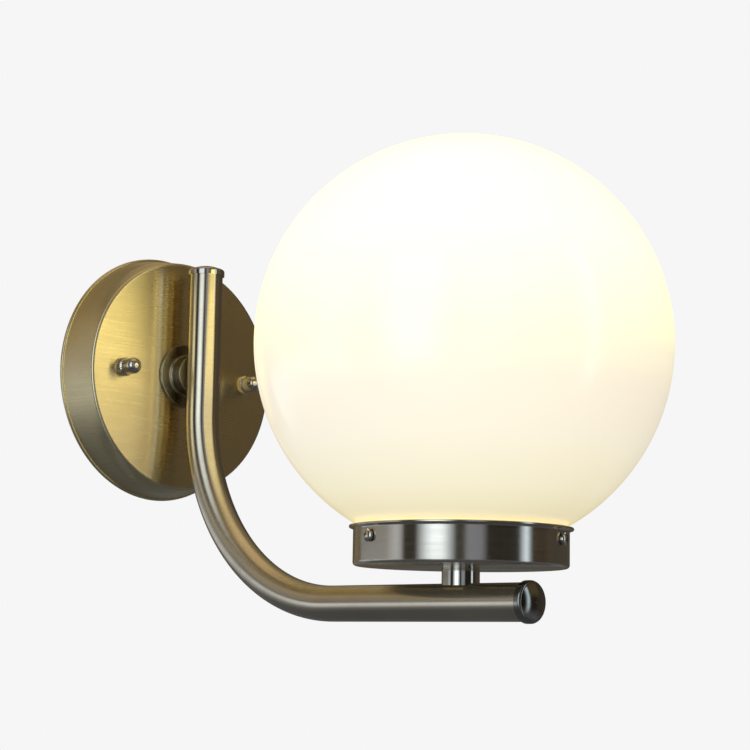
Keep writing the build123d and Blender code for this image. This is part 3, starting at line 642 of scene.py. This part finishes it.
def sweepRoute(name, corners, bends, sizes, extra=()):
    mesh = bpy.data.meshes.new(name)
    mesh.from_pydata([Vector(c) * mm for c in corners], [(k, k + 1) for k in range(len(corners) - 1)], [])
    radii = mesh.attributes.new("bendRadius", "FLOAT", "POINT")
    radii.data.foreach_set("value", [0.0] + [b * mm for b in bends] + [0.0])
    return growTree(makeObject(name, mesh), tubeTree, sizes, extra)


armSizes = {
    "tubeRadius": 9.0,
    "wall": 1.5,
    "y": -39.0,
    "z": -125.6,
    "topZ": 54.3,
    "frontY": -269.4,
    "bend": 105.0,
}


def makeArm():
    s = armSizes
    corners = [(0, s["y"], s["topZ"]), (0, s["y"], s["z"]), (0, s["frontY"], s["z"])]
    arm = sweepRoute("armTube", corners, [s["bend"]],
                     {"tubeRadius": s["tubeRadius"] * mm, "sides": 96, "bendSteps": 96, "closedEnds": False,
                      "finish": finishes["tube"]},
                     [("SOLIDIFY", {"thickness": s["wall"] * mm, "offset": -1.0})])
    softenEdges(arm.data)
    return fitPiece(arm, "wall_arm", ["arm_tube"])


makeArm()


wireSizes = {
    "radius": 1.1,
    "offset": 1.6,
    "y": -8.0,
    "blockZ": -30.0,
    "rise": (-20.0, -12.0),         # where it leaves its pole's line, and reaches the pipe's
    "holder": (-95.0, -89.5, -80.0),    # where it spreads in the lampholder, and where it ends
    "spread": 9.0,
    "bends": [4.0, 4.0, 5.0, 5.5, 105.0, 5.5, 3.0, 2.5],
    "earth": [(9.5, -8.0, -30.0), (9.5, -8.0, -18.0), (13.0, -4.6, -11.0), (11.5, -4.6, -4.5)],
    "earthBends": [4.0, 3.5],
}


def makeWires():
    s, a = wireSizes, armSizes
    common = {"tubeRadius": s["radius"] * mm, "sides": 20, "bendSteps": 14, "closedEnds": True}
    y, (leaves, meets), (spreads, turns, ends) = s["y"], s["rise"], s["holder"]
    for name, node, side, poleX, finish, slot in (
            ("lineWire", "line_wire", -1, -9.5, "brownPvcSleeve", "line_insulation"),
            ("neutralWire", "neutral_wire", 1, 0.0, "bluePvcSleeve", "neutral_insulation")):
        x, far = side * s["offset"], side * s["spread"]
        route = [(poleX, y, s["blockZ"]), (poleX, y, leaves), (x, y, meets), (x, y, 0), (x, a["y"], 0),
                 (x, a["y"], a["z"]), (x, -reach, a["z"]), (x, -reach, spreads), (far, -reach, turns),
                 (far, -reach, ends)]
        wire = sweepRoute(name, route, s["bends"], {**common, "finish": finishes[finish]})
        fitPiece(wire, "wall_arm", [node])
    wire = sweepRoute("earthWire", s["earth"], s["earthBends"], {**common, "finish": finishes["earth"]})
    fitPiece(wire, "wall_arm", ["earth_wire"])


makeWires()
print("arm tube and wires swept")


# Threads, knurls and grips: one tree cuts a wave into a turned piece. With one start it winds as a thread,
# and with many starts and a very long pitch it runs straight along as ribs

def aroundAxis(tree):
    # a point's height, its place across the Z axis, its distance from the axis and its angle round it
    place = addNode(tree, "GeometryNodeInputPosition")
    parts = addNode(tree, "ShaderNodeSeparateXYZ", links={0: place})
    flat = addNode(tree, "ShaderNodeCombineXYZ", links={0: parts, 1: parts.outputs[1]})
    radius = addNode(tree, "ShaderNodeVectorMath", links={0: flat}, operation="LENGTH")
    angle = addNode(tree, "ShaderNodeMath", links={0: parts.outputs[1], 1: parts}, operation="ARCTAN2")
    return parts.outputs[2], flat, radius.outputs["Value"], angle


def cutWaveTree():
    tree, given = startTree("cutWave", {"pitch": "Float", "starts": "Float", "depth": "Float",
                                        "from": "Float", "to": "Float", "fade": "Float",
                                        "outsideOf": "Float", "roundness": "Float", "finish": "Material"})
    height, flat, radius, angle = aroundAxis(tree)
    outwards = addNode(tree, "ShaderNodeVectorMath", links={0: flat}, operation="NORMALIZE")
    turns = addNode(tree, "ShaderNodeMath", {1: 1 / math.tau}, {0: angle}, operation="MULTIPLY")
    wound = addNode(tree, "ShaderNodeMath", links={0: turns, 1: given["starts"]}, operation="MULTIPLY")
    risen = addNode(tree, "ShaderNodeMath", links={0: height, 1: given["pitch"]}, operation="DIVIDE")
    phase = addNode(tree, "ShaderNodeMath", links={0: risen, 1: wound}, operation="SUBTRACT")
    zigzag = addNode(tree, "ShaderNodeMath", {1: 0.5}, {0: phase}, operation="PINGPONG")
    sharp = addNode(tree, "ShaderNodeMath", {1: 2.0}, {0: zigzag}, operation="MULTIPLY")
    rounded = addNode(tree, "ShaderNodeMapRange", links={0: sharp}, interpolation_type="SMOOTHSTEP")
    cut = addNode(tree, "ShaderNodeMix", links={0: given["roundness"], 2: sharp, 3: rounded})
    amount = addNode(tree, "ShaderNodeMath", links={0: cut, 1: given["depth"]}, operation="MULTIPLY")
    wide = addNode(tree, "ShaderNodeMath", links={0: radius, 1: given["outsideOf"]}, operation="GREATER_THAN")
    for end, operation in (("from", "ADD"), ("to", "SUBTRACT")):
        full = addNode(tree, "ShaderNodeMath", links={0: given[end], 1: given["fade"]}, operation=operation)
        share = addNode(tree, "ShaderNodeMapRange", links={0: height, 1: given[end], 2: full})
        amount = addNode(tree, "ShaderNodeMath", links={0: amount, 1: share}, operation="MULTIPLY")
    amount = addNode(tree, "ShaderNodeMath", links={0: amount, 1: wide}, operation="MULTIPLY")
    inwards = addNode(tree, "ShaderNodeMath", {1: -1.0}, {0: amount}, operation="MULTIPLY")
    move = addNode(tree, "ShaderNodeVectorMath", links={0: outwards, "Scale": inwards}, operation="SCALE")
    moved = addNode(tree, "GeometryNodeSetPosition", links={"Geometry": given["Geometry"], "Offset": move})
    endTree(tree, moved, given["finish"])
    return tree


def hexTrimTree():
    # brings a turned, chamfered ring in to six flats
    tree, given = startTree("hexTrim", {"flats": "Float", "finish": "Material"})
    height, flat, radius, angle = aroundAxis(tree)
    side = addNode(tree, "ShaderNodeMath", {1: math.pi / 6}, {0: angle}, operation="PINGPONG")
    fromFlat = addNode(tree, "ShaderNodeMath", {0: math.pi / 6}, {1: side}, operation="SUBTRACT")
    cosine = addNode(tree, "ShaderNodeMath", links={0: fromFlat}, operation="COSINE")
    half = addNode(tree, "ShaderNodeMath", {1: 0.5}, {0: given["flats"]}, operation="MULTIPLY")
    limit = addNode(tree, "ShaderNodeMath", links={0: half, 1: cosine}, operation="DIVIDE")
    share = addNode(tree, "ShaderNodeMath", links={0: limit, 1: radius}, operation="DIVIDE")
    share = addNode(tree, "ShaderNodeMath", {1: 1.0}, {0: share}, operation="MINIMUM")
    shrunk = addNode(tree, "ShaderNodeVectorMath", links={0: flat, "Scale": share}, operation="SCALE")
    level = addNode(tree, "ShaderNodeCombineXYZ", links={2: height})
    new = addNode(tree, "ShaderNodeVectorMath", links={0: shrunk, 1: level}, operation="ADD")
    moved = addNode(tree, "GeometryNodeSetPosition", links={"Geometry": given["Geometry"], "Position": new})
    endTree(tree, moved, given["finish"])
    return tree


waveTree, hexTree = cutWaveTree(), hexTrimTree()


def ringed(profile, low, high, spacing):
    # adds rings to a profile's straight runs between two heights, for a wave to be cut into
    points = [profile[0]]
    for (r0, z0), (r1, z1) in zip(profile, profile[1:]):
        inside = min(z0, z1) < high and max(z0, z1) > low and abs(z1 - z0) > spacing and abs(r1 - r0) < 0.01
        count = math.ceil(abs(z1 - z0) / spacing) if inside else 1
        points += [(r0 + (r1 - r0) * k / count, z0 + (z1 - z0) * k / count) for k in range(1, count + 1)]
    return points


def slotCutter(width, depth, top, span=9.0):
    bm = bmesh.new()
    bmesh.ops.create_cube(bm, size=mm)
    bmesh.ops.scale(bm, verts=bm.verts, vec=(span, width, 2 * depth))
    bmesh.ops.translate(bm, verts=bm.verts, vec=(0, 0, top * mm))
    return makeObject("slotCutter", keepMesh("slotCutter", bm))


plainWave = {"pitch": 1, "starts": 1, "depth": 0, "from": 0, "to": 1, "fade": 1, "outsideOf": 0,
             "roundness": 0}
straight = 1e6      # mm: so long a pitch that ribs don't wind


def turnPiece(name, profile, steps, finish, wave=None, flats=None, slot=None, closed=True):
    # wave holds plainWave's sizes and the rings' spacing; slot is its width, its depth and the head's top
    if wave:
        profile = ringed(profile, wave["from"], wave["to"], wave["spacing"])
    piece = makeObject(name, turnProfile(name, profile, steps, closed))
    cutter = slotCutter(*slot) if slot else None
    extra = [("BOOLEAN", {"object": cutter, "operation": "DIFFERENCE", "solver": "EXACT"})] if slot else []
    sizes = {"finish": finishes[finish]}
    if flats:
        growTree(piece, hexTree, {**sizes, "flats": flats * mm}, extra)
    else:
        cut = {**plainWave, **(wave or {})}
        sizes.update({key: float(cut[key]) for key in ("starts", "roundness")})
        sizes.update({key: cut[key] * mm for key in ("pitch", "depth", "from", "to", "fade", "outsideOf")})
        growTree(piece, waveTree, sizes, extra)
    if cutter:
        bpy.data.objects.remove(cutter)
    softenEdges(piece.data)
    return piece


def joinPieces(name, pieces):
    bm = bmesh.new()
    for piece in pieces:
        bm.from_mesh(piece.data)
    mesh = keepMesh(name, bm)
    mesh.materials.append(pieces[0].data.materials[0])
    for piece in pieces:
        bpy.data.objects.remove(piece)
    return makeObject(name, mesh)


def onWall(x, z=0.0):
    return Matrix.Translation((x * mm, 0, z * mm)) @ outOfWall


# Cap nuts on their studs: a knurled flange for the fingers, a groove and a bullet-shaped dome

capNutSizes = {
    "x": 43.0,
    "foot": 22.65,          # from the wall
    "bore": (2.05, 32.25),
    "flange": (5.0, 4.4, 0.8),      # radius, thickness, bevel
    "groove": (3.8, 0.5),
    "dome": 4.4,
    "length": 13.3,
    "ribs": 28,             # real knurls are near 0.6 mm apart; 1.1 here so that they show
    "ribDepth": 0.32,
}


def makeCapNuts():
    s = capNutSizes
    foot, (bore, boreEnd) = s["foot"], s["bore"]
    radius, thick, bevel = s["flange"]
    groove, grooveWidth = s["groove"]
    front = foot + thick
    domeZ = foot + s["length"] - s["dome"]
    profile = [(0, boreEnd), (bore, boreEnd), (bore, foot), (radius - bevel, foot), (radius, foot + bevel),
               (radius, front - bevel), (radius - bevel, front), (groove, front),
               (groove, front + grooveWidth), (s["dome"] - 0.15, front + grooveWidth),
               (s["dome"], front + grooveWidth + 0.2)]
    profile += arcPoints((0, domeZ), s["dome"], 0, 90, 16)
    for side, sign in (("left", -1), ("right", 1)):
        nut = turnPiece(f"{side}CapNut", profile, s["ribs"] * 4, "polishedNickel", closed=False,
                        wave={"pitch": straight, "starts": s["ribs"], "depth": s["ribDepth"],
                              "from": foot + 0.3, "to": front - 0.3, "fade": 0.5,
                              "outsideOf": radius - 0.4, "spacing": 0.6})
        fitPiece(nut, f"{side}_cap_nut", [f"cap_nut_{side}"], onWall(sign * s["x"]))


studSizes = {
    "radius": 2.0,
    "back": 1.2,
    "headFront": 4.0,
    "head": 3.6,
    "end": 31.0,
    "pitch": 0.7,           # M4 coarse
    "depth": 0.38,
    "nut": (7.0, 6.0, 9.2),     # across the flats, and where it begins and ends
}


def nutProfile(flats, bore, low, high):
    corner = flats / math.sqrt(3)
    face = flats / 2 * 0.96
    rise = (corner - face) * math.tan(math.radians(28))
    slope = [(face + (corner - face) * k / 6, rise * k / 6) for k in range(7)]
    return ([(bore, low)] + [(r, low + h) for r, h in slope] + [(r, high - h) for r, h in reversed(slope)]
            + [(bore, high)])


def makeStuds():
    s, x = studSizes, capNutSizes["x"]
    r, bevel = s["radius"], 0.4
    profile = [(0, s["back"]), (s["head"] - bevel, s["back"]), (s["head"], s["back"] + bevel),
               (s["head"], s["headFront"]), (r, s["headFront"]), (r, s["end"] - bevel), (r - bevel, s["end"]),
               (0, s["end"])]
    studs, nuts = [], []
    flats, low, high = s["nut"]
    for sign in (-1, 1):
        stud = turnPiece("stud", profile, 32, "zincPlatedSteel", closed=False, slot=(1.0, 1.1, s["back"]),
                         wave={"pitch": s["pitch"], "depth": s["depth"], "from": s["headFront"] + 0.6,
                               "to": s["end"] - 0.2, "fade": 0.8, "outsideOf": r - 0.2, "spacing": 0.117})
        nut = turnPiece("lockNut", nutProfile(flats, r, low, high), 72, "zincPlatedSteel", flats=flats)
        for piece, kept in ((stud, studs), (nut, nuts)):
            piece.data.transform(onWall(sign * x))
            kept.append(piece)
    fitPiece(joinPieces("canopyStuds", studs), "wall_arm", ["canopy_studs"])
    fitPiece(joinPieces("studLockNuts", nuts), "wall_arm", ["stud_lock_nuts"])


makeCapNuts()
makeStuds()
print("studs and cap nuts made")


# The hollow threaded pipes that hold the arm and the stem, with their nuts

pipeSizes = {
    "radius": 5.0,
    "bore": 4.0,
    "pitch": 1.0,           # M10 fine, the lamp maker's thread
    "depth": 0.5,
    "flats": 14.0,
    "arm": (14.0, 33.0),        # from the wall
    "armNut": (16.8, 20.2),
    "stem": (-119.6, -96.0),
    "stemNut": (-106.8, -103.4),
}


def makePipes():
    s = pipeSizes
    r, bore, bevel = s["radius"], s["bore"], 0.45
    for name, node, nutName, nutNode, place in (
            ("arm", "arm_nipple", "armNut", "arm_nipple_nut", outOfWall),
            ("stem", "stem_nipple", "stemNut", "fitter_nut", globeAxis)):
        low, high = s[name]
        profile = [(bore, low), (r - bevel, low), (r, low + bevel), (r, high - bevel), (r - bevel, high),
                   (bore, high)]
        pipe = turnPiece(name + "Pipe", profile, 48, "turnedBrass",
                         wave={"pitch": s["pitch"], "depth": s["depth"], "from": low, "to": high, "fade": 0.8,
                               "outsideOf": r - 0.6, "spacing": 0.166})
        fitPiece(pipe, "wall_arm", [node], place)
        nut = turnPiece(nutName, nutProfile(s["flats"], r, *s[nutName]), 72, "turnedBrass", flats=s["flats"])
        fitPiece(nut, "wall_arm", [nutNode], place)


makePipes()
print("threaded pipes made")


# Globe screws: low domed heads with a screwdriver slot

globeScrewSizes = {
    "angles": (-17.0, 103.0, 223.0),
    "z": -96.5,
    "tip": 46.55,           # from the globe's axis
    "underHead": 51.4,
    "radius": 2.0,
    "head": (3.0, 1.2, 1.2),        # radius, straight edge, dome
    "pitch": 0.7,
    "depth": 0.36,
}


def makeGlobeScrews():
    s = globeScrewSizes
    r, tip, under = s["radius"], s["tip"], s["underHead"]
    head, rim, dome = s["head"]
    ball = (head ** 2 + dome ** 2) / (2 * dome)
    top = under + rim + dome
    start = math.degrees(math.asin((ball - dome) / ball))
    profile = [(0, tip), (r - 0.8, tip), (r, tip + 0.8), (r, under), (head - 0.15, under),
               (head, under + 0.15), (head, under + rim)]
    profile += arcPoints((0, top - ball), ball, start, 90, 10)[1:]
    for number, angle in enumerate(s["angles"], start=1):
        screw = turnPiece(f"globeScrew{number}", profile, 48, "polishedNickel", closed=False,
                          slot=(0.7, 0.9, top),
                          wave={"pitch": s["pitch"], "depth": s["depth"], "from": tip + 0.4,
                                "to": under - 0.2, "fade": 0.5, "outsideOf": r - 0.3, "spacing": 0.117})
        place = (Matrix.Translation((0, -reach * mm, s["z"] * mm))
                 @ Matrix.Rotation(math.radians(-90 - angle), 4, "Z")
                 @ Matrix.Rotation(math.radians(90), 4, "Y"))
        fitPiece(screw, f"globe_screw_{number}", [f"globe_screw_{number}"], place)


makeGlobeScrews()
print("globe screws made")


# Lampholder sleeve with moulded grips, and the bulb's rolled screw cap

holderSizes = {
    "radius": 19.0,
    "inside": 17.0,
    "low": -74.0,
    "lip": -48.0,
    "top": -45.0,
    "rimInside": 17.8,
    "bore": 14.2,
    "lipThick": 1.6,
    "grips": 40,
    "gripDepth": 0.5,
}
bulbCapSizes = {
    "radius": 13.0,
    "floor": -60.5,
    "top": -40.0,
    "sheet": 0.8,
    "shoulder": -44.3,      # where the wall thickens towards its mouth
    "bore": (11.9, 12.6),
    "hole": (6.0, 8.5),     # in the floor, and the flat round it
    "pitch": 3.63,          # the 27 mm lamp thread, 7 to the inch
    "depth": 0.85,
}


def makeSleeve():
    s = holderSizes
    r, low, top, lip = s["radius"], s["low"], s["top"], s["lip"]
    profile = [(s["inside"], low), (r - 0.3, low), (r, low + 0.3), (r, top - 0.7), (r - 0.2, top - 0.2),
               (r - 0.6, top), (s["rimInside"] + 0.2, top), (s["rimInside"], top - 0.2),
               (s["rimInside"], lip), (s["bore"] + 0.5, lip), (s["bore"], lip - 0.5),
               (s["bore"], lip - s["lipThick"]), (s["inside"], lip - s["lipThick"])]
    sleeve = turnPiece("lampholderSleeve", profile, s["grips"] * 6, "whitePhenolicMoulding",
                       wave={"pitch": straight, "starts": s["grips"], "depth": s["gripDepth"],
                             "from": low + 2, "to": lip - 2, "fade": 2, "outsideOf": r - 0.6,
                             "roundness": 1, "spacing": 1.5})
    fitPiece(sleeve, "wall_arm", ["lampholder_sleeve"], globeAxis)


def makeBulbCap():
    s = bulbCapSizes
    r, low, top, sheet, shoulder = s["radius"], s["floor"], s["top"], s["sheet"], s["shoulder"]
    (bore, mouth), (hole, flat) = s["bore"], s["hole"]
    profile = [(hole, low), (flat, low), (r - 1.0, low + 2.6), (r - 0.2, low + 3.6), (r, low + 4.4),
               (r, top - 0.3), (r - 0.3, top), (mouth, top), (mouth, shoulder), (bore, shoulder - 1),
               (bore, low + 4.8), (flat - 0.5, low + sheet), (hole, low + sheet)]
    cap = turnPiece("bulbCap", profile, 96, "drawnBrassShell",
                    wave={"pitch": s["pitch"], "depth": s["depth"], "from": low + 3.4, "to": shoulder + 0.3,
                          "fade": 1.6, "outsideOf": r - 0.7, "roundness": 1, "spacing": 0.36})
    fitPiece(cap, "bulb", ["bulb_cap"], globeAxis)


makeSleeve()
makeBulbCap()
print("lampholder sleeve and bulb cap made")


# Slotted screws behind the dish: on the strap, and in the terminal block's brass clamps

smallScrewSizes = {
    "block": {"x": (-4.75, 4.75), "z": (-33.0,), "shank": (1.4, 0.3), "head": (2.0, 11.0, 12.6, 0.3),
              "slot": (0.5, 0.6)},
    "clamp": {"x": (-9.5, 0.0, 9.5), "z": (-37.0, -29.0), "shank": (1.2, 9.8),
              "head": (1.2, 11.8, 12.4, 0.15), "slot": (0.45, 0.6)},
    "earth": {"x": (11.5,), "z": (0.0,), "shank": (1.9, 0.3), "head": (3.4, 2.8, 5.0, 0.9),
              "slot": (0.8, 1.0)},
    "clampTube": (2.6, 1.5, 6.5, -8.0, -33.0),      # radius, bore, half length, y and z of its middle
}


def slottedScrews(kind, finish):
    s = smallScrewSizes[kind]
    r, back = s["shank"]
    head, under, top, edge = s["head"]
    profile = [(0, back), (r, back), (r, under), (head, under)]
    profile += arcPoints((head - edge, top - edge), edge, 0, 90, 5) + [(0, top)]
    screws = []
    for x in s["x"]:
        for z in s["z"]:
            screw = turnPiece("slottedScrew", profile, 36, finish, slot=(*s["slot"], top), closed=False)
            turned = math.radians(17 + 23 * x + 9 * z)      # no two slots stand alike
            screw.data.transform(onWall(x, z) @ Matrix.Rotation(turned, 4, "Z"))
            screws.append(screw)
    return screws


def makeSmallScrews():
    fitPiece(joinPieces("terminalBlockScrews", slottedScrews("block", "zincPlatedSteel")), "wall_arm",
             ["terminal_block_screws"])
    fitPiece(joinPieces("earthScrew", slottedScrews("earth", "turnedBrass")), "wall_arm", ["earth_screw"])
    clamps = slottedScrews("clamp", "turnedBrass")
    radius, bore, half, y, z = smallScrewSizes["clampTube"]
    profile = [(bore, -half), (radius - 0.3, -half), (radius, 0.3 - half), (radius, half - 0.3),
               (radius - 0.3, half), (bore, half)]
    for x in smallScrewSizes["clamp"]["x"]:
        tube = turnPiece("clampTube", profile, 40, "turnedBrass")
        tube.data.transform(Matrix.Translation((x * mm, y * mm, z * mm)))
        clamps.append(tube)
    fitPiece(joinPieces("terminalClamps", clamps), "wall_arm", ["terminal_clamps"])


makeSmallScrews()
print("slotted screws made")


# Nodes whose shape is right already

nodeFinishes = {
    # the standoff and the front plug get finishes drawn darker: painted shade and a painted dark reflection
    "canopy_plate": "canopy", "arm_standoff": "bossPaintedShade", "arm_top_plug": "polishedNickel",
    "arm_front_plug": "plugPaintedDarkReflection", "fitter_cup": "cup", "fitter_stem": "polishedNickel",
    "wall_bracket": "zincPlatedSteel", "arm_nipple_washer": "zincPlatedSteel",
    "fitter_washer": "zincPlatedSteel", "lampholder_cap": "whitePhenolicMoulding",
    "lampholder_insert": "glazedPorcelain", "lampholder_screw_shell": "drawnBrassShell",
    "lampholder_centre_contact": "drawnBrassShell", "lampholder_terminals": "turnedBrass",
    "bulb_glass": "frostedBulbGlass", "bulb_insulator": "blackVitrite", "bulb_contact": "drawnBrassShell",
    "terminal_block": "nylonBlock", "earth_lug": "turnedBrass",
}
for nodeName, finish in nodeFinishes.items():
    dress(nodeName, finish)
print("nodes dressed,", len(nodeFinishes))
